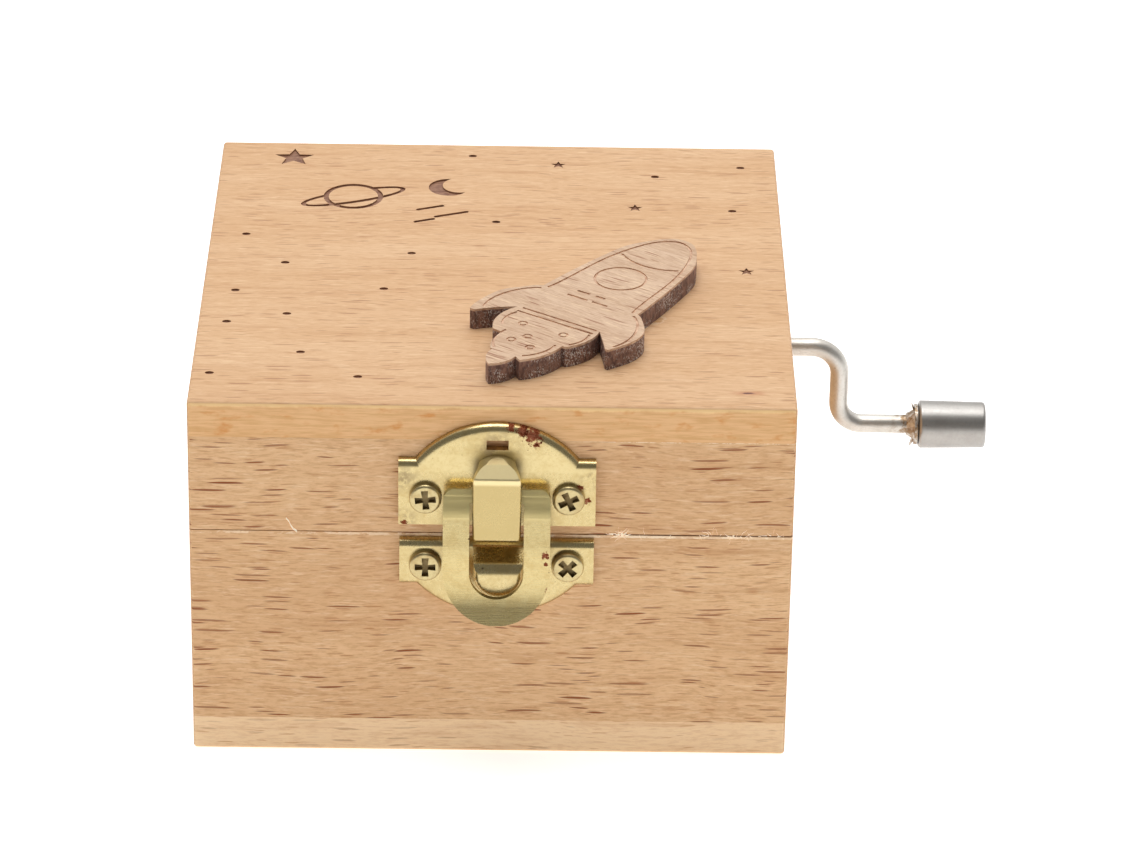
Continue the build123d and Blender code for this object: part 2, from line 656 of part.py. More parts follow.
def worm_wheel():
    """Wheel with teeth slanted to follow the worm's thread."""
    lead_angle = math.atan(WORM_PITCH / (2 * math.pi * WORM_R))
    pitch_angle = 2 * math.pi / WHEEL_TEETH
    root = WHEEL_R - DEDENDUM
    tip = WHEEL_R + ADDENDUM
    half_pitch = (math.pi * MODULE / 2 - BACKLASH) / 2
    slope = math.tan(math.radians(20))
    points = []
    for k in range(WHEEL_TEETH):
        middle = k * pitch_angle + math.pi / 2
        for radius, half in (
            (root, half_pitch + DEDENDUM * slope), (tip, half_pitch - ADDENDUM * slope),
            (tip, ADDENDUM * slope - half_pitch), (root, -half_pitch - DEDENDUM * slope),
        ):
            angle = middle - half / radius
            points.append((radius * math.cos(angle), radius * math.sin(angle)))
    section = make_face(Polyline(*points, close=True))
    slant = math.degrees(math.tan(lead_angle) * WHEEL_WIDTH / WHEEL_R)
    blank = Solid.extrude_linear_with_rotation(
        section.face(), (0, 0, 0), (0, 0, WHEEL_WIDTH), slant)
    blank = Rot(0, 0, -slant / 2) * blank
    gear = Pos(CYL_X, CRANK_Y + WHEEL_WIDTH / 2, CYL_Z) * Rot(90, 0, 0) * blank
    gear += rod_y(2.4, REAR_POST[1] + 0.4, CRANK_Y, CYL_X, CYL_Z)
    return gear - rod_y(ARBOR_R, 0, 30, CYL_X, CYL_Z)


# ---------------------------------------------------------------- crank
def worm():
    """Single-start worm on its shaft, bored at the right to take the crank."""
    shaft_x0 = LEFT_POST[0] - 1.4
    shaft_x1 = RIGHT_POST[1] + 3.0
    core_r = WORM_R - DEDENDUM
    shaft = rod_x(JOURNAL_R, shaft_x0, shaft_x1, CRANK_Y, CRANK_Z)
    shaft += rod_x(1.9, LEFT_POST[1] + 0.45, CYL_X - WORM_HALF - 0.6, CRANK_Y, CRANK_Z)
    shaft += rod_x(1.9, CYL_X + WORM_HALF + 0.6, RIGHT_POST[0] - 0.45, CRANK_Y, CRANK_Z)
    thread_half = (WORM_PITCH / 2 - BACKLASH) / 2
    slope = math.tan(math.radians(20))
    path = Helix(WORM_PITCH, 2 * WORM_HALF, core_r)
    low = thread_half + DEDENDUM * slope
    high = thread_half - ADDENDUM * slope
    profile = Polyline((core_r - 0.12, -low), (WORM_R + ADDENDUM, -high),
                       (WORM_R + ADDENDUM, high), (core_r - 0.12, low), close=True)
    section = make_face(Plane.XZ * profile)
    thread = sweep(section, path=path, is_frenet=True)
    thread = Pos(CYL_X - WORM_HALF, CRANK_Y, CRANK_Z) * Rot(0, 90, 0) * thread
    body = shaft + rod_x(core_r, CYL_X - WORM_HALF - 1, CYL_X + WORM_HALF + 1, CRANK_Y, CRANK_Z) + thread
    return body - rod_x(SPIGOT_R + 0.01, shaft_x1 - SPIGOT_DEPTH, shaft_x1 + 1, CRANK_Y, CRANK_Z)


def retaining_clip():
    x1 = LEFT_POST[0] - 0.3
    ring = rod_x(2.1, x1 - 0.5, x1, CRANK_Y, CRANK_Z)
    ring -= rod_x(JOURNAL_R, x1 - 1, x1 + 1, CRANK_Y, CRANK_Z)
    return ring - block((x1 - 1, x1 + 1), (CRANK_Y - 0.6, CRANK_Y + 0.6), (CRANK_Z, CRANK_Z + 4))


def crank_rod():
    """Bent wire crank with a thinner spigot that screws into the worm shaft."""
    shoulder = RIGHT_POST[1] + 3.0
    low = CRANK_Z - THROW
    end = KNOB_X0 + KNOB_LENGTH - 1.2
    points = [(shoulder, CRANK_Y, CRANK_Z), (ARM_X, CRANK_Y, CRANK_Z),
              (ARM_X, CRANK_Y, low), (end, CRANK_Y, low)]
    path = FilletPolyline(*points, radius=[INNER_BEND, OUTER_BEND])
    start = Plane(origin=points[0], z_dir=(1, 0, 0))
    wire = sweep(start * Circle(WIRE_R), path=path)
    return wire + rod_x(SPIGOT_R, shoulder - SPIGOT_DEPTH + 0.3, shoulder, CRANK_Y, CRANK_Z)


def knob_collar():
    """Thin washer crimped on the wire just inside the knob, with two bent lugs."""
    z = CRANK_Z - THROW
    face = KNOB_X0 - 0.15
    disc = rod_x(2.4, face - 0.35, face, CRANK_Y, z)
    flare = Pos(face - 0.8, CRANK_Y, z) * Rot(0, 90, 0) * Cone(1.3, 1.75, 0.9)
    lug = make_face(Plane.XZ * Polyline((face - 0.35, 1.3), (face, 1.3), (face - 0.75, 2.75), close=True))
    lug = Pos(0, CRANK_Y, 0) * extrude(lug, 0.45, both=True)
    collar = disc + flare
    for end in (0, 180):
        collar += Pos(0, CRANK_Y, z) * Rot(end, 0, 0) * Pos(0, -CRANK_Y, 0) * lug
    return collar - rod_x(WIRE_R, KNOB_X0 - 3, KNOB_X0 + 1, CRANK_Y, z)


def crank_knob():
    z = CRANK_Z - THROW
    knob = Cone(KNOB_R, KNOB_END_R, KNOB_LENGTH, align=(Align.CENTER, Align.CENTER, Align.MIN))
    knob = fillet(knob.edges().filter_by(GeomType.CIRCLE), KNOB_ROUND)
    knob = Pos(KNOB_X0, CRANK_Y, z) * Rot(0, 90, 0) * knob
    bore = WIRE_R + KNOB_BORE_CLEARANCE
    return knob - rod_x(bore, KNOB_X0 - 1, KNOB_X0 + KNOB_LENGTH - 1.0, CRANK_Y, z)


# ---------------------------------------------------------------- assembly
def write_wood():
    write("base_bottom_panel", bottom_panel())
    write("lid_top_panel", lid_panel())
    levels = (
        ("base", PANEL, BASE_TOP, LOWER_SCREW_Z, -HINGE_SCREW_DZ),
        ("lid", LID_BOTTOM, LID_CEILING, UPPER_SCREW_Z, HINGE_SCREW_DZ),
    )
    for level, z0, z1, latch_z, hinge_dz in levels:
        radius, depth = LATCH_PILOT
        front = front_back_wall(-1, z0, z1)
        front = pilot_holes(front, latch_screw_spots(latch_z), FRONT_Y - 1, FRONT_Y + depth, radius)
        write(f"{level}_front_wall", front)
        radius, depth = HINGE_PILOT
        back = front_back_wall(1, z0, z1)
        back = pilot_holes(back, hinge_screw_spots(hinge_dz), BACK_Y - depth, BACK_Y + 1, radius)
        write(f"{level}_back_wall", back)
        write(f"{level}_left_wall", side_wall(-1, z0, z1))
        right = side_wall(1, z0, z1)
        if level == "base":
            right -= rod_x(CRANK_HOLE_R, 0, WIDTH, CRANK_Y, CRANK_Z)
        write(f"{level}_right_wall", right)
    write("rocket_ornament", rocket())


def write_latch_and_hinges():
    write("latch_tongue_plate", tongue_plate())
    write("latch_catch_plate", catch_plate())
    write("latch_ring", latch_ring())
    group("latch_upper_screws", latch_screws(UPPER_SCREW_Z, (5, 25)))
    group("latch_lower_screws", latch_screws(LOWER_SCREW_Z, (0, 45)))
    for name, side in (("left", -1), ("right", 1)):
        write(f"{name}_hinge_base_leaf", hinge_leaf(side * HINGE_X, -1))
        write(f"{name}_hinge_lid_leaf", hinge_leaf(side * HINGE_X, 1))
        write(f"{name}_hinge_pin", hinge_pin(side * HINGE_X))
    group("hinge_base_screws", [hinge_screw(x, z) for x, z in hinge_screw_spots(-HINGE_SCREW_DZ)])
    group("hinge_lid_screws", [hinge_screw(x, z) for x, z in hinge_screw_spots(HINGE_SCREW_DZ)])


def write_movement():
    write("movement_bedplate", bedplate())
    group("movement_mounting_screws", bed_screws())
    write("comb", comb())
    group("comb_bass_weights", bass_weights())
    group("comb_screws", comb_screws())
    write("cylinder_front_bush", bush(rod_y, ARBOR_R, FRONT_POST, CYL_X, CYL_Z))
    write("cylinder_rear_bush", bush(rod_y, ARBOR_R, REAR_POST, CYL_X, CYL_Z))
    write("crank_left_bush", bush(rod_x, JOURNAL_R, LEFT_POST, CRANK_Y, CRANK_Z))
    write("crank_right_bush", bush(rod_x, JOURNAL_R, RIGHT_POST, CRANK_Y, CRANK_Z))
    write("cylinder_tube", cylinder_tube())
    group("melody_pins", melody_pins())
    write("cylinder_front_cap", cylinder_cap(CYL_Y0 + 0.3, CYL_Y0 + 1.5))
    write("cylinder_rear_cap", cylinder_cap(CYL_Y1 - 1.5, CYL_Y1 - 0.3))
    write("cylinder_arbor", rod_y(ARBOR_R, FRONT_POST[0] - 0.8, CRANK_Y + 2.4, CYL_X, CYL_Z))
    write("worm_wheel", worm_wheel())
    write("crank_worm", worm())
    write("worm_retaining_clip", retaining_clip())
    write("crank_rod", crank_rod())
    write("knob_collar", knob_collar())
    write("crank_knob", crank_knob())


os.makedirs("parts", exist_ok=True)
write_wood()
write_latch_and_hinges()
write_movement()
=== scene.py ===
import math
import random

import bmesh
import bpy
from mathutils import Matrix, Vector


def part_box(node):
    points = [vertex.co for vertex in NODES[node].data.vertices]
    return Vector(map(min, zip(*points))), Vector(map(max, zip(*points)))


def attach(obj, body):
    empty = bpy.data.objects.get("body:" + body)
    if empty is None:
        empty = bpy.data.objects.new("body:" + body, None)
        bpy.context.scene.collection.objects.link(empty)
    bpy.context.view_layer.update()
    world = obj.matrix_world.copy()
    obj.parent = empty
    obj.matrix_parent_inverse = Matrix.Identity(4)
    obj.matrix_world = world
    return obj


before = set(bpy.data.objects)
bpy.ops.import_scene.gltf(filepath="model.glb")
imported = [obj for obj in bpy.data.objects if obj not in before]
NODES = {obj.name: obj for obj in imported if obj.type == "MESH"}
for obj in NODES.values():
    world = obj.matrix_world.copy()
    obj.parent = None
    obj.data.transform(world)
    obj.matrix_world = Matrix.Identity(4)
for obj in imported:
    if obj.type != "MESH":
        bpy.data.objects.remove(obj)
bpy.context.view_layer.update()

MM = 0.001

# The box's outer faces in millimetres, read from its boards.
PANEL_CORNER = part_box("lid_top_panel")[1] / MM
HALF_X, HALF_Y, TOP = PANEL_CORNER
FRONT = -HALF_Y
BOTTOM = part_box("base_bottom_panel")[0].z / MM
SEAM = (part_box("base_front_wall")[1].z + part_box("lid_front_wall")[0].z) / 2 / MM
GLUE_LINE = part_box("lid_front_wall")[1].z / MM

# Where the latch is worn and rusty: x, z and a radius in millimetres.
PLATE_WEAR = ((0.6, 37.4, 2.1), (-9.4, 28.8, 1.6), (-9.3, 33.9, 1.5), (10.6, 34.2, 1.2))
PLATE_RUST = (
    (4.3, 39.0, 0.95), (3.2, 39.5, 0.55), (4.7, 38.1, 0.5), (2.0, 39.9, 0.4), (10.0, 31.4, 0.42),
    (9.3, 32.9, 0.4), (-9.2, 28.6, 0.3))
RING_RUST = ((5.75, 26.7, 0.42), (5.85, 25.7, 0.22), (6.15, 22.6, 0.40), (5.4, 21.0, 0.26))
TONGUE_LOW, TONGUE_HIGH = 28.2, 34.7        # z of the folded tongue's flat face
CROWN_HIGH = 36.8                           # z where the tongue leaves the plate
RING_LIP = (22.6, 19.6)                     # z over which the ring bends into its lower lip
RING_CURL = (30.2, 31.4)                    # z over which the ring starts to curl to its pivot
CRIMP = (45.2, 47.6)                        # x of the stained wire at the collar

# Marks on the lid: a point of its top face.
KNOT = (26.92, -29.76, TOP)
GLUE = (17.4, -12.4, TOP)
GLUE_RADIUS = 2.1

# The fibre stuck on the front: x and z of its points.
STUCK_FIBRE = ((-20.56, 26.87), (-20.95, 27.15), (-21.2, 27.55), (-21.4, 28.05), (-21.71, 28.42))
FIBRE_COUNT = 58
FIBRE_RADIUS = 0.06
STUCK_RADIUS = 0.15

ROCKET_GRAIN = math.radians(34.5)
WOOD_BUMP = 0.012                           # height of the grain in millimetres

# The studio: degrees of the camera, and the strengths of the floor's and the dim part's light.
AZIMUTH, ELEVATION, ROLL = -0.557, 27.245, 0.979
FLOOR_GLOW = 0.75
DIM_ROOM = 0.22


# ---------------------------------------------------------------- node graphs
class Graph:
    """A material's node tree, with short calls for the nodes that it uses."""

    def __init__(self, name):
        self.material = bpy.data.materials.new(name)
        self.material.use_nodes = True
        self.tree = self.material.node_tree
        self.shader = self.tree.nodes["Principled BSDF"]
        coordinates = self.node("ShaderNodeTexCoord")
        self.mm = self.scaled(coordinates.outputs["Object"], (1000, 1000, 1000))
        split = self.node("ShaderNodeSeparateXYZ", Vector=self.mm)
        self.x, self.y, self.z = split.outputs

    def node(self, kind, settings=None, **inputs):
        made = self.tree.nodes.new(kind)
        for key, value in (settings or {}).items():
            setattr(made, key, value)
        for key, value in inputs.items():
            self.feed(made.inputs[key.replace("_", " ")], value)
        return made

    def feed(self, socket, value):
        if isinstance(value, bpy.types.NodeSocket):
            self.tree.links.new(value, socket)
        elif value is not None:
            socket.default_value = value

    def math(self, operation, a, b=None):
        made = self.node("ShaderNodeMath", {"operation": operation})
        self.feed(made.inputs[0], a)
        self.feed(made.inputs[1], b)
        return made.outputs[0]

    def vector(self, operation, a, b):
        made = self.node("ShaderNodeVectorMath", {"operation": operation})
        self.feed(made.inputs[0], a)
        self.feed(made.inputs[1], b)
        return made.outputs[0]

    def add(self, a, b):
        return self.math("ADD", a, b)

    def sub(self, a, b):
        return self.math("SUBTRACT", a, b)

    def mul(self, a, b):
        return self.math("MULTIPLY", a, b)

    def step(self, value, low, high):
        """0 at low, 1 at high, smooth between; low may be the larger."""
        settings = {"interpolation_type": "SMOOTHSTEP"}
        made = self.node("ShaderNodeMapRange", settings, Value=value)
        made.inputs["From Min"].default_value = low
        made.inputs["From Max"].default_value = high
        return made.outputs[0]

    def scaled(self, vector, scale):
        return self.vector("MULTIPLY", vector, scale)

    def stretch(self, scale):
        """The object's millimetres, scaled along each axis."""
        return self.scaled(self.mm, scale)

    def noise(self, vector, scale=1.0, detail=2.0, rough=0.5, distort=0.0):
        made = self.node("ShaderNodeTexNoise", Vector=vector, Scale=scale, Detail=detail)
        made.inputs["Roughness"].default_value = rough
        made.inputs["Distortion"].default_value = distort
        return made.outputs["Fac"]

    def length(self, vector):
        made = self.node("ShaderNodeVectorMath", {"operation": "LENGTH"})
        self.feed(made.inputs[0], vector)
        return made.outputs["Value"]

    def absolute(self, value):
        return self.math("ABSOLUTE", value)

    def mix(self, amount, a, b):
        made = self.node("ShaderNodeMix", {"data_type": "RGBA"})
        self.feed(made.inputs[0], amount)
        self.feed(made.inputs[6], a)
        self.feed(made.inputs[7], b)
        return made.outputs[2]

    def bump(self, height, depth_mm, strength=1.0):
        made = self.node("ShaderNodeBump", Height=height, Strength=strength)
        made.inputs["Distance"].default_value = depth_mm * MM
        return made.outputs[0]

    def near(self, centre_mm, radius):
        """1 at a point of the object, falling to 0 at the radius."""
        away = self.vector("SUBTRACT", self.mm, centre_mm)
        return self.step(self.length(away), radius, 0.0)

    def from_axis(self, x, z):
        """Distance from the line along Y through x and z."""
        flat = self.node("ShaderNodeCombineXYZ", X=self.x, Y=0.0, Z=self.z).outputs[0]
        made = self.node("ShaderNodeVectorMath", {"operation": "DISTANCE"})
        self.feed(made.inputs[0], flat)
        self.feed(made.inputs[1], (x, 0.0, z))
        return made.outputs["Value"]

    def finish(self, color, roughness, normal=None, **constants):
        self.feed(self.shader.inputs["Base Color"], color)
        self.feed(self.shader.inputs["Roughness"], roughness)
        self.feed(self.shader.inputs["Normal"], normal)
        for key, value in constants.items():
            self.shader.inputs[key.replace("_", " ")].default_value = value
        return self.material


def rgb(red, green, blue):
    """Linear colour from 0-255 screen values."""
    def linear(v):
        v /= 255
        return v / 12.92 if v <= 0.04045 else ((v + 0.055) / 1.055) ** 2.4
    return (linear(red), linear(green), linear(blue), 1.0)


# ---------------------------------------------------------------- wood
def dashes(g, vector, limit, gate):
    """Small spindle-shaped flecks, one in some of the cells of the stretched space."""
    cell = g.node("ShaderNodeTexVoronoi", {"feature": "F1"}, Vector=vector, Scale=1.0)
    tint = g.node("ShaderNodeSeparateColor", Color=cell.outputs["Color"])
    size = g.mul(g.add(g.mul(tint.outputs[1], 0.55), 0.45), limit)
    near = g.sub(size, cell.outputs["Distance"])
    body = g.step(near, 0.0, limit * 0.3)
    chosen = g.math("GREATER_THAN", tint.outputs[0], gate)
    depth = g.add(g.mul(tint.outputs[2], 0.5), 0.5)
    return g.mul(g.mul(body, chosen), depth)


def grain_space(g, axis, seed, tilt):
    """Millimetres with the grain along the first axis, gently waved, and moved by the seed."""
    rng = random.Random(seed)
    offset = [rng.uniform(50, 400) for _ in range(3)]
    q = g.mm
    if tilt:
        turned = g.node("ShaderNodeVectorRotate", {"rotation_type": "Z_AXIS"}, Vector=q, Angle=tilt)
        q = turned.outputs[0]
    if axis == "Y":
        q = g.node("ShaderNodeCombineXYZ", X=g.y, Y=g.x, Z=g.z).outputs[0]
    q = g.vector("ADD", q, offset)
    wave = g.mul(g.noise(g.scaled(q, (0.045, 0.06, 0.06)), 1.0, 2.0), 2.6)
    shift = g.node("ShaderNodeCombineXYZ", X=0.0, Y=wave, Z=wave).outputs[0]
    return g.vector("ADD", q, shift)


def beech(name, axis, seed, tones, strong, faint, streaks, tilt=0.0):
    """Sanded beech: tone bands, fine streaks, many faint flecks and a few long brown ones.

    tones are the pale, deep and brown colours. strong is the length scale, gate and weight of the
    long flecks, faint is those of the short ones, and streaks is the weight of the streaks."""
    g = Graph(name)
    q = grain_space(g, axis, seed, tilt)
    pale, deep, brown = tones
    tone = g.noise(g.scaled(q, (0.014, 0.13, 0.13)), 1.0, 3.0, 0.55, 0.6)
    bands = g.noise(g.scaled(q, (0.05, 1.1, 1.1)), 1.0, 3.0, 0.6, 0.2)
    streak = g.noise(g.scaled(q, (0.70, 4.6, 4.6)), 1.0, 3.0, 0.7)
    thread = g.noise(g.scaled(q, (0.35, 3.4, 3.4)), 1.0, 3.0, 0.7)
    long_fleck = dashes(g, g.scaled(q, (strong[0], 2.5, 2.5)), 0.40, strong[1])
    short_fleck = dashes(g, g.scaled(q, (faint[0], 3.6, 3.6)), 0.38, faint[1])
    color = g.mix(g.step(tone, 0.36, 0.64), pale, deep)
    color = g.mix(g.mul(g.step(bands, 0.50, 0.72), 0.30), color, brown)
    color = g.mix(g.mul(g.step(streak, 0.44, 0.66), streaks), color, brown)
    color = g.mix(g.mul(g.step(thread, 0.48, 0.32), streaks), color, rgb(255, 226, 186))
    color = g.mix(g.mul(short_fleck, faint[2]), color, brown)
    dark = g.mix(0.85, brown, rgb(130, 54, 2))
    color = g.mix(g.mul(long_fleck, strong[2]), color, dark)
    height = g.sub(g.mul(streak, 0.6), g.mul(long_fleck, 0.25))
    return g, color, streak, height


def end_grain(g, color, coordinate, limit):
    """Darker, porous faces where the grain is cut across at plus and minus the limit."""
    pores = g.noise(g.mm, 4.0, 3.0, 0.7)
    on_end = g.step(g.absolute(coordinate), limit - 0.25, limit - 0.02)
    dark = g.mix(g.step(pores, 0.4, 0.65), rgb(206, 160, 116), rgb(164, 118, 80))
    return g.mix(g.mul(on_end, 0.75), color, dark)


def close_wood(g, color, rough, height, depth=WOOD_BUMP, strength=0.5):
    """The finished material of a sanded board."""
    return g.finish(color, rough, g.bump(height, depth, strength), Specular_IOR_Level=0.35)


# Each wall's grain direction and seed.
WALLS = {
    "base_front_wall": ("X", 11), "base_back_wall": ("X", 12), "base_left_wall": ("Y", 13),
    "base_right_wall": ("Y", 14), "lid_front_wall": ("X", 21), "lid_back_wall": ("X", 22),
    "lid_left_wall": ("Y", 23), "lid_right_wall": ("Y", 24),
}
WALL_TONES = (rgb(234, 191, 143), rgb(225, 180, 132), rgb(176, 108, 50))
BOTTOM_TONES = (rgb(253, 218, 174), rgb(248, 208, 161), rgb(198, 134, 76))
# Painted shade: the top board's pale and deep tones are darker than the walls' to offset its strong
# light from above.
LID_TONES_WITH_PAINTED_SHADE = (rgb(224, 184, 142), rgb(217, 174, 130), rgb(182, 126, 80))
ROCKET_TONES = (rgb(220, 189, 160), rgb(208, 175, 145), rgb(164, 120, 88))


def board_roughness(g, fibre):
    return g.add(g.mul(fibre, 0.16), 0.5)


def board_materials():
    made = {}
    for node, (axis, seed) in WALLS.items():
        g, color, fibre, height = beech(
            "beech_" + node, axis, seed, WALL_TONES, (0.15, 0.34, 1.0), (0.30, 0.24, 0.62), 0.34)
        along, limit = (g.x, HALF_X) if axis == "X" else (g.y, HALF_Y)
        color = end_grain(g, color, along, limit)
        color = torn_edge_and_gap_shadow(g, color)
        made[node] = close_wood(g, color, board_roughness(g, fibre), height)
    made["base_bottom_panel"] = bottom_material()
    made["lid_top_panel"] = lid_material()
    return made


def torn_edge_and_gap_shadow(g, color):
    """A painted shadow in the gap of the saw cut, with pale broken fibres below it, and a pale glue
    line, stronger to the right.
    """
    ragged = g.noise(g.stretch((1.6, 1.6, 5.0)), 1.0, 4.0, 0.7)
    below = g.sub(SEAM, g.z)
    right = g.step(g.x, 4.0, 16.0)
    broken = g.step(g.noise(g.stretch((0.55, 1.0, 1.0)), 1.0, 4.0, 0.75), 0.46, 0.54)
    outside = g.math("MAXIMUM", *(
        g.step(g.absolute(across), half - 0.5, half - 0.2)
        for across, half in ((g.x, HALF_X), (g.y, HALF_Y))))
    amount = g.mul(g.add(g.mul(right, 0.40), g.mul(broken, 0.55)), outside)
    fibres = g.sub(g.absolute(g.sub(below, 0.22)), g.mul(ragged, 0.32))
    color = g.mix(g.mul(g.step(fibres, 0.03, -0.06), amount), color, rgb(255, 230, 196))
    # Painted shadow: the seam's gap is darkened, more to the right, where shade falls between the
    # boards.
    painted_gap_shadow = g.mul(g.step(g.absolute(below), 0.15, 0.05), g.add(g.mul(right, 0.6), 0.05))
    color = g.mix(g.mul(painted_gap_shadow, outside), color, rgb(128, 80, 42))
    glue = g.mul(g.step(ragged, 0.46, 0.56), g.step(g.x, 6.0, 16.0))
    on_line = g.step(g.z, GLUE_LINE - 0.14, GLUE_LINE - 0.05)
    return g.mix(g.mul(g.mul(on_line, glue), 0.75), color, rgb(255, 232, 200))


def bottom_material():
    g, color, fibre, height = beech(
        "beech_base_bottom_panel", "X", 31, BOTTOM_TONES, (0.20, 0.70, 0.38), (0.30, 0.50, 0.55), 0.24)
    color = end_grain(g, color, g.x, HALF_X)
    return close_wood(g, color, board_roughness(g, fibre), height)


def edge_band(g, color):
    """The long edges of the top board: warm wood with orange patches under a pale wavy arris."""
    on_edge = g.step(g.absolute(g.y), HALF_Y - 0.16, HALF_Y - 0.04)
    grain = g.noise(g.stretch((0.35, 3.0, 4.5)), 1.0, 3.0, 0.6)
    blotch = g.noise(g.stretch((0.38, 0.5, 0.85)), 1.0, 3.0, 0.6)
    warm = g.mix(g.step(grain, 0.35, 0.7), rgb(238, 190, 136), rgb(222, 170, 112))
    warm = g.mix(g.mul(g.step(blotch, 0.54, 0.72), 0.75), warm, rgb(218, 144, 72))
    color = g.mix(on_edge, color, warm)
    wavy = g.mul(g.noise(g.stretch((0.30, 0.1, 0.1)), 1.0, 4.0, 0.7), 0.9)
    arris = g.mul(g.step(g.add(g.z, wavy), TOP - 0.10, TOP + 0.22), on_edge)
    return g.mix(g.mul(arris, 0.85), color, rgb(255, 216, 156))


def lid_material():
    """Top board: base tones darkened as painted shade, a knot, a glue smear, burnt marks wherever it is
    cut lower.
    """
    g, color, fibre, height = beech(
        "beech_lid_top_panel", "X", 37, LID_TONES_WITH_PAINTED_SHADE, (0.24, 0.38, 0.50), (0.40, 0.34, 0.48), 0.24)
    color = knot(g, color)
    color, gloss = glue_smear(g, color)
    color = edge_band(g, color)
    color = end_grain(g, color, g.x, HALF_X)
    below = g.step(g.z, TOP - 0.03, TOP - 0.09)
    inside = g.mul(
        g.step(g.absolute(g.x), HALF_X - 0.6, HALF_X - 0.8),
        g.step(g.absolute(g.y), HALF_Y - 0.6, HALF_Y - 0.8))
    scorch = g.noise(g.stretch((1.2, 3.0, 3.0)), 1.0, 3.0, 0.6)
    burn = g.mix(g.step(scorch, 0.35, 0.68), rgb(160, 118, 92), rgb(122, 80, 60))
    above_ceiling = g.step(g.z, TOP - 1.0, TOP - 0.8)
    mask = g.mul(g.mul(below, inside), above_ceiling)
    color = g.mix(mask, color, burn)
    rough = g.sub(board_roughness(g, fibre), g.mul(gloss, 0.3))
    return close_wood(g, color, rough, height)


def knot(g, color):
    """A pin knot: a dark purple core with a reddish halo drawn out along the grain."""
    drawn = g.scaled(g.vector("SUBTRACT", g.mm, KNOT), (0.42, 1.5, 0.0))
    ragged = g.mul(g.sub(g.noise(g.stretch((1.4, 3.4, 1.0)), 1.0, 3.0, 0.6), 0.5), 0.5)
    reach = g.add(g.length(drawn), ragged)
    color = g.mix(g.mul(g.step(reach, 1.1, 0.25), 0.5), color, rgb(186, 112, 74))
    return g.mix(g.mul(g.step(reach, 0.40, 0.12), 0.9), color, rgb(84, 46, 50))


def glue_smear(g, color):
    """Dried glue squeezed out beside the rocket."""
    ragged = g.mul(g.sub(g.noise(g.stretch((1.1, 1.1, 1.0)), 1.0, 4.0, 0.7), 0.5), 1.2)
    spot = g.add(g.near(GLUE, GLUE_RADIUS), ragged)
    film = g.step(spot, 0.35, 0.55)
    rim = g.mul(film, g.step(spot, 0.75, 0.55))
    color = g.mix(g.mul(film, 0.35), color, rgb(206, 158, 104))
    return g.mix(g.mul(rim, 0.35), color, rgb(255, 236, 206)), film


def rocket_material():
    """Thin plywood: cool pale face, singed lines and dark sides with near-white specks painted on as
    glints.
    """
    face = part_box("rocket_ornament")[1].z / MM
    g, color, fibre, height = beech(
        "burnt_plywood", "X", 71, ROCKET_TONES, (0.20, 0.40, 0.75), (0.40, 0.35, 0.50), 0.36,
        ROCKET_GRAIN)
    below = g.step(g.z, face - 0.03, face - 0.10)
    patchy = g.noise(g.stretch((1.5, 1.5, 1.0)), 1.0, 3.0, 0.6)
    line = g.mix(g.step(patchy, 0.35, 0.65), rgb(196, 154, 124), rgb(232, 200, 172))
    color = g.mix(below, color, line)
    depth = g.step(g.z, face - 0.18, face - 0.34)
    char = g.noise(g.stretch((2.4, 2.4, 1.0)), 1.0, 4.0, 0.65)
    dark = g.mix(g.step(char, 0.35, 0.65), rgb(150, 116, 104), rgb(98, 74, 68))
    patch = g.noise(g.stretch((0.30, 0.30, 0.5)), 1.0, 2.0, 0.6)
    specks = g.noise(g.stretch((7.0, 7.0, 4.0)), 1.0, 2.0, 0.7)
    # Painted highlight: near-white glints on the charred sides, in patches, where the char is also made
    # glossier.
    painted_glints = g.mul(g.step(specks, 0.53, 0.62), g.step(patch, 0.38, 0.60))
    dark = g.mix(g.mul(painted_glints, 0.9), dark, rgb(240, 236, 234))
    color = g.mix(depth, color, dark)
    rough = g.sub(g.add(g.mul(fibre, 0.15), 0.55), g.mul(g.mul(depth, painted_glints), 0.35))
    return close_wood(g, color, rough, g.add(height, g.mul(depth, specks)), 0.10, 0.6)


# ---------------------------------------------------------------- metals
def metal(name, color, tarnish, roughness, brush=None, brush_depth=0.006, mottling=0.4, specks=0.0):
    """Plated metal: cloudy tone, fine scratches or brushing, and small dark specks."""
    g = Graph(name)
    cloud = g.noise(g.stretch((0.45, 0.45, 0.45)), 1.0, 5.0, 0.65, 0.4)
    fine = g.noise(g.stretch((3.2, 3.2, 3.2)), 1.0, 4.0, 0.75)
    tone = g.mix(g.mul(g.step(cloud, 0.42, 0.66), mottling), color, tarnish)
    tone = g.mix(g.mul(g.step(fine, 0.46, 0.68), 0.45), tone, tarnish)
    if specks:
        spot = dashes(g, g.stretch((1.3, 1.3, 1.3)), 0.20, 1.0 - specks)
        tone = g.mix(g.mul(spot, 0.8), tone, rgb(96, 70, 40))
    low, high = roughness
    rough = g.add(g.mul(g.mix(0.5, cloud, fine), high - low), low)
    normal = None
    if brush:
        lines = g.noise(g.stretch(brush), 1.0, 2.0, 0.6)
        rough = g.add(rough, g.mul(g.sub(lines, 0.5), 0.18))
        normal = g.bump(lines, brush_depth, 0.8)
    return g, tone, rough, normal


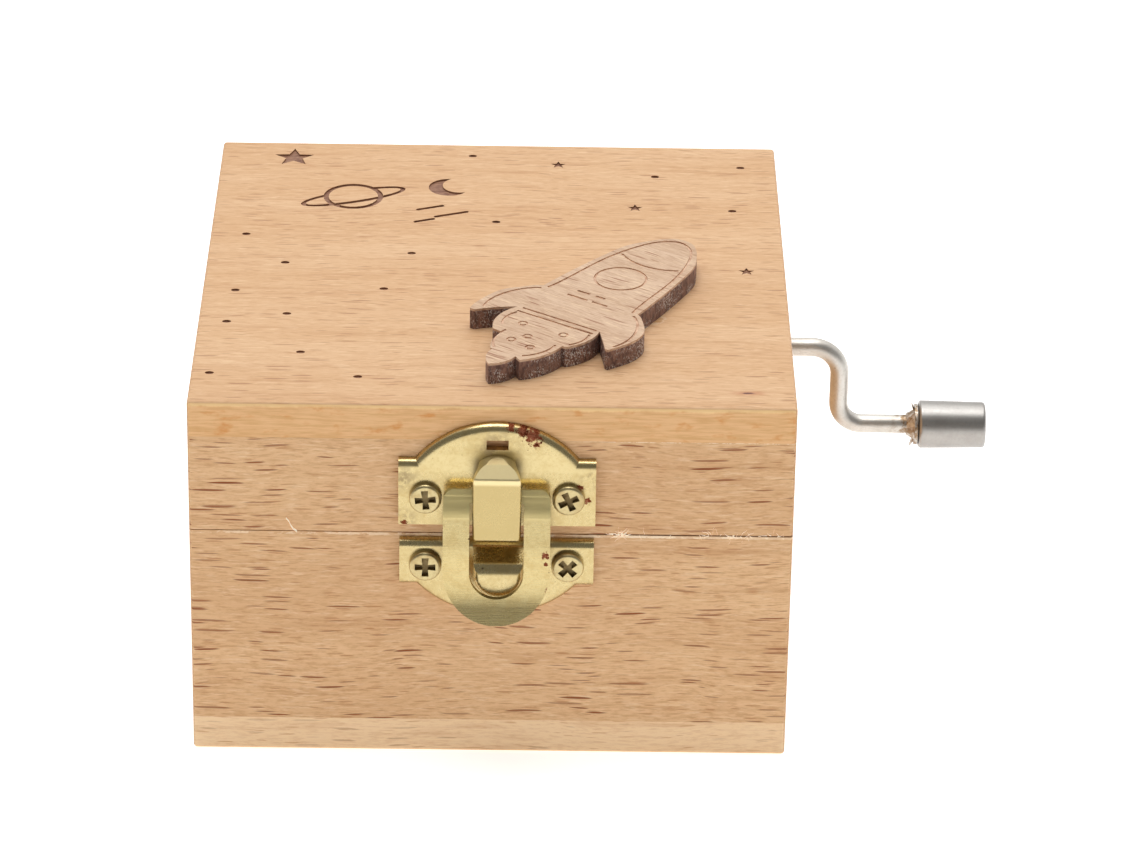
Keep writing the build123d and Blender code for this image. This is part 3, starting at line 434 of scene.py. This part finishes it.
def rust(g, tone, rough, spots):
    """Plating lost in ragged reddish patches; each spot is x, z and a radius."""
    ragged = g.noise(g.stretch((2.4, 2.4, 2.4)), 1.0, 5.0, 0.8)
    brown = g.mix(g.step(ragged, 0.4, 0.6), rgb(128, 66, 40), rgb(168, 108, 82))
    for x, z, radius in spots:
        reach = g.add(g.from_axis(x, z), g.mul(g.sub(ragged, 0.49), radius * 5.0))
        patch = g.step(reach, radius, radius * 0.86)
        tone = g.mix(patch, tone, brown)
        rough = g.add(rough, g.mul(patch, 0.4))
    return tone, rough


BRASS = rgb(200, 182, 134)
BRASS_DULL = rgb(178, 152, 98)


def plate_material():
    """Both latch plates: cloudy brass, darker on the tongue's face, a painted highlight on its crown,
    worn and rusty.
    """
    g, tone, rough, normal = metal("latch_plate_brass", BRASS, BRASS_DULL, (0.20, 0.36), specks=0.10)
    smear = g.noise(g.stretch((1.0, 1.0, 1.0)), 1.0, 5.0, 0.75)
    for x, z, radius in PLATE_WEAR:
        worn = g.mul(g.near((x, FRONT - 1, z), radius * 1.6), g.step(smear, 0.44, 0.58))
        tone = g.mix(g.mul(worn, 0.6), tone, rgb(142, 122, 96))
        rough = g.add(rough, g.mul(worn, 0.25))
    above = g.step(g.z, TONGUE_HIGH - 0.2, TONGUE_HIGH + 0.2)
    proud = g.step(g.y, FRONT - 0.9, FRONT - 1.3)
    face = g.mul(proud, g.step(g.z, TONGUE_LOW - 0.2, TONGUE_LOW + 0.2))
    tongue = g.mul(face, g.sub(1.0, above))
    painted_crown_highlight = g.mul(g.mul(proud, above), g.step(g.z, CROWN_HIGH + 0.2, CROWN_HIGH - 0.2))
    tone = g.mix(g.mul(tongue, 0.9), tone, rgb(182, 162, 112))
    # Painted highlight: the tongue's crown is made pale, and a little rougher, where it bends away from
    # the plate.
    tone = g.mix(g.mul(painted_crown_highlight, 0.8), tone, rgb(238, 220, 168))
    rough = g.add(rough, g.mul(painted_crown_highlight, 0.14))
    tone, rough = rust(g, tone, rough, PLATE_RUST)
    return g.finish(tone, rough, normal, Metallic=1.0)


def ring_material():
    """Brushed sheet: darker on its lower lip, with a painted highlight and more roughness where it
    curls to its pivot.
    """
    g, tone, rough, normal = metal(
        "latch_ring_brass", rgb(198, 180, 130), BRASS_DULL, (0.24, 0.32), brush=(0.5, 11.0, 11.0),
        specks=0.06)
    tone = g.mix(g.mul(g.step(g.z, *RING_LIP), 0.40), tone, rgb(152, 138, 92))
    start, end = RING_CURL
    # Painted highlight: the curl to the pivot is made pale.
    tone = g.mix(g.step(g.z, start, end), tone, rgb(246, 226, 160))
    rough = g.add(rough, g.mul(g.step(g.z, start - 0.2, end + 0.2), 0.14))
    tone, rough = rust(g, tone, rough, RING_RUST)
    return g.finish(tone, rough, normal, Metallic=1.0)


def screw_material(node):
    """Grainy brass head, darker down in the cross recess."""
    low, high = (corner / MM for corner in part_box(node))
    middle = (low.z + high.z) / 2
    half = (high.z - low.z) / 2
    g, tone, rough, normal = metal(
        node, rgb(198, 182, 136), rgb(172, 148, 102), (0.30, 0.44), brush=(5, 5, 5), mottling=0.7)
    for x in (low.x + half, high.x - half):
        inside = g.step(g.from_axis(x, middle), half - 0.40, half - 0.55)
        deep_in_recess = g.mul(inside, g.step(g.y, low.y + 0.10, low.y + 0.45))
        tone = g.mix(g.mul(deep_in_recess, 0.55), tone, rgb(96, 68, 38))
        rough = g.add(rough, g.mul(deep_in_recess, 0.3))
    return g.finish(tone, rough, normal, Metallic=1.0)


def latch_materials():
    plate = plate_material()
    return {
        "latch_tongue_plate": plate, "latch_catch_plate": plate, "latch_ring": ring_material(),
        "latch_upper_screws": screw_material("latch_upper_screws"),
        "latch_lower_screws": screw_material("latch_lower_screws"),
    }


def wire_material():
    """Satin wire with brown stains where the collar is crimped on."""
    g, tone, rough, normal = metal(
        "nickel_wire", rgb(208, 204, 197), rgb(182, 176, 166), (0.38, 0.48), brush=(3.0, 3.0, 3.0),
        specks=0.03)
    stain = g.noise(g.stretch((1.1, 1.1, 1.1)), 1.0, 4.0, 0.7)
    crimp = g.mul(g.step(g.x, *CRIMP), g.step(stain, 0.38, 0.60))
    tone = g.mix(crimp, tone, rgb(142, 118, 92))
    return g.finish(tone, rough, normal, Metallic=1.0)


def simple_metal(name, color, tarnish, roughness, **options):
    g, tone, rough, normal = metal(name, color, tarnish, roughness, **options)
    return g.finish(tone, rough, normal, Metallic=1.0)


def metal_materials():
    hinge = simple_metal(
        "hinge_brass", rgb(206, 178, 114), rgb(172, 136, 76), (0.28, 0.42), brush=(0.4, 7, 7),
        specks=0.08)
    nickel = simple_metal(
        "satin_nickel", rgb(170, 167, 163), rgb(154, 150, 145), (0.36, 0.42), brush=(0.6, 7.0, 7.0),
        brush_depth=0.003, specks=0.03)
    casting = simple_metal(
        "zinc_casting", rgb(168, 170, 172), rgb(140, 142, 146), (0.42, 0.58), brush=(2.2, 2.2, 2.2),
        brush_depth=0.03)
    turned = simple_metal(
        "turned_brass", rgb(212, 182, 112), rgb(194, 160, 92), (0.22, 0.32), brush=(1.0, 12.0, 1.0))
    steel = simple_metal(
        "ground_steel", rgb(186, 188, 192), rgb(158, 160, 166), (0.24, 0.36), brush=(0.3, 10.0, 10.0))
    plated = simple_metal(
        "zinc_plated_steel", rgb(192, 196, 196), rgb(168, 170, 160), (0.28, 0.40), brush=(4, 4, 4))
    lead = simple_metal(
        "lead", rgb(112, 114, 120), rgb(88, 90, 96), (0.5, 0.65), brush=(3, 3, 3), brush_depth=0.02)
    wire = wire_material()
    made = {node: hinge for node in NODES if "hinge" in node}
    made.update({
        "crank_knob": nickel, "knob_collar": wire, "crank_rod": wire, "movement_bedplate": casting,
        "movement_mounting_screws": plated, "comb_screws": plated, "worm_retaining_clip": plated,
        "comb": steel, "comb_bass_weights": lead, "melody_pins": steel, "cylinder_arbor": steel,
        "crank_worm": steel, "cylinder_tube": turned, "cylinder_front_cap": turned,
        "cylinder_rear_cap": turned, "worm_wheel": turned, "cylinder_front_bush": turned,
        "cylinder_rear_bush": turned, "crank_left_bush": turned, "crank_right_bush": turned,
    })
    return made


def dress(materials):
    for node, material in materials.items():
        mesh = NODES[node].data
        mesh.materials.clear()
        mesh.materials.append(material)


# ---------------------------------------------------------------- loose fibres
def strand(mesh, points, radius, taper):
    """A three-sided hair along the points; taper is how much of its radius it loses."""
    rings = []
    for i, point in enumerate(points):
        size = radius * (1 - taper * i / (len(points) - 1))
        ring = []
        for k in range(3):
            turn = k * math.tau / 3
            ring.append(mesh.verts.new(point + Vector((0, math.sin(turn), math.cos(turn))) * size))
        rings.append(ring)
    for near, far in zip(rings, rings[1:]):
        for k in range(3):
            mesh.faces.new((near[k], near[(k + 1) % 3], far[(k + 1) % 3], far[k]))
    mesh.faces.new(rings[0][::-1])
    mesh.faces.new(rings[-1])


def fibre_path(rng, start, length, lean):
    """A short curl from start; lean is the angle above the +X direction."""
    points = [start]
    for _ in range(4):
        lean += rng.uniform(-0.5, 0.5)
        along = Vector((math.cos(lean), rng.uniform(-0.25, 0.10), math.sin(lean)))
        points.append(points[-1] + along * length * 0.25)
    return points


def loose_fibres():
    """Broken fibres standing out of the saw cut, and one stuck on the front."""
    rng = random.Random(5)
    y = FRONT - 0.02
    mesh = bmesh.new()
    for _ in range(FIBRE_COUNT):
        x = rng.choice((rng.uniform(11.5, 31.0), rng.uniform(22.5, 28.0), rng.gauss(13.7, 0.5)))
        start = Vector((x, y, SEAM + rng.uniform(-0.05, 0.14))) * MM
        path = fibre_path(rng, start, rng.uniform(0.35, 1.1) * MM, rng.uniform(-math.pi, math.pi))
        strand(mesh, path, FIBRE_RADIUS * MM, 0.8)
    stuck = [Vector((x, y, z)) * MM for x, z in STUCK_FIBRE]
    strand(mesh, stuck, STUCK_RADIUS * MM, 0.35)
    data = bpy.data.meshes.new("loose_fibres")
    mesh.to_mesh(data)
    mesh.free()
    made = bpy.data.objects.new("loose_fibres", data)
    bpy.context.scene.collection.objects.link(made)
    g = Graph("pale_fibre")
    tone = g.mix(g.noise(g.stretch((3, 3, 3)), 1.0, 2.0), rgb(255, 240, 218), rgb(240, 212, 176))
    rough = g.add(g.mul(g.noise(g.stretch((6, 6, 6))), 0.2), 0.5)
    # Painted light: the fibres glow a little, standing in for light coming through the thin strands.
    painted_glow = {"Emission_Color": (1.0, 0.9, 0.76, 1), "Emission_Strength": 0.3}
    data.materials.append(g.finish(tone, rough, g.bump(g.noise(g.stretch((9, 9, 9))), 0.01), **painted_glow))
    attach(made, "lid")


# ---------------------------------------------------------------- studio
def floor():
    """A plain pale sheet just under the box, with a little light of its own."""
    bpy.ops.mesh.primitive_plane_add(size=6.0, location=(0, 0, (BOTTOM - 0.05) * MM))
    made = bpy.context.object
    made.name = "floor"
    g = Graph("floor_paper")
    white = (0.88, 0.88, 0.88, 1)
    made.data.materials.append(g.finish(white, 0.7, Emission_Color=white, Emission_Strength=FLOOR_GLOW))


def surroundings():
    """An even white room, dim in front of the box and below the zenith."""
    world = bpy.data.worlds.new("studio")
    bpy.context.scene.world = world
    world.use_nodes = True
    tree = world.node_tree
    sky = tree.nodes["Background"]
    direction = tree.nodes.new("ShaderNodeTexCoord")
    split = tree.nodes.new("ShaderNodeSeparateXYZ")
    tree.links.new(direction.outputs["Generated"], split.inputs[0])
    low = map_range(tree, split.outputs[2], (0.985, 0.93), (0.0, 1.0))
    front = map_range(tree, split.outputs[1], (0.15, -0.15), (0.0, 1.0))
    dim = tree.nodes.new("ShaderNodeMath")
    dim.operation = "MULTIPLY"
    tree.links.new(low, dim.inputs[0])
    tree.links.new(front, dim.inputs[1])
    strength = map_range(tree, dim.outputs[0], (0.0, 1.0), (1.0, DIM_ROOM))
    tree.links.new(strength, sky.inputs["Strength"])
    sky.inputs["Color"].default_value = (1.0, 0.995, 0.985, 1)


def map_range(tree, value, source, target):
    made = tree.nodes.new("ShaderNodeMapRange")
    made.interpolation_type = "SMOOTHSTEP"
    tree.links.new(value, made.inputs["Value"])
    made.inputs["From Min"].default_value, made.inputs["From Max"].default_value = source
    made.inputs["To Min"].default_value, made.inputs["To Max"].default_value = target
    return made.outputs[0]


def softbox(name, place, size, power):
    data = bpy.data.lights.new(name, "AREA")
    data.size = size
    data.energy = power
    light = bpy.data.objects.new(name, data)
    bpy.context.scene.collection.objects.link(light)
    light.location = place
    towards_box = Vector((0, 0, 0.02)) - Vector(place)
    light.rotation_euler = towards_box.to_track_quat("-Z", "Y").to_euler()


def camera(target, distance, lens):
    """A camera round the target; azimuth 0 looks along +Y."""
    a, e, r = map(math.radians, (AZIMUTH, ELEVATION, ROLL))
    back = Vector((math.sin(a) * math.cos(e), -math.cos(a) * math.cos(e), math.sin(e)))
    level = (-back).cross(Vector((0, 0, 1))).normalized()
    upright = level.cross(-back)
    across = math.cos(r) * level + math.sin(r) * upright
    up = math.cos(r) * upright - math.sin(r) * level
    data = bpy.data.cameras.new("camera")
    data.lens = lens
    data.sensor_width = 36.0
    made = bpy.data.objects.new("camera", data)
    bpy.context.scene.collection.objects.link(made)
    turn = Matrix((across, up, back)).transposed().to_4x4()
    made.matrix_world = Matrix.Translation(Vector(target) + back * distance) @ turn
    bpy.context.scene.camera = made


dress(board_materials())
dress(metal_materials())
dress(latch_materials())
dress({"rocket_ornament": rocket_material()})
loose_fibres()
floor()
surroundings()
softbox("overhead", (-0.05, 0.02, 0.85), 0.40, 2.2)
softbox("overhead_back", (0.10, 0.35, 0.80), 0.7, 1.6)
camera((0.00849, 0.0, 0.02236), 0.56864, 159.98)
bpy.context.scene.view_settings.view_transform = "Standard"
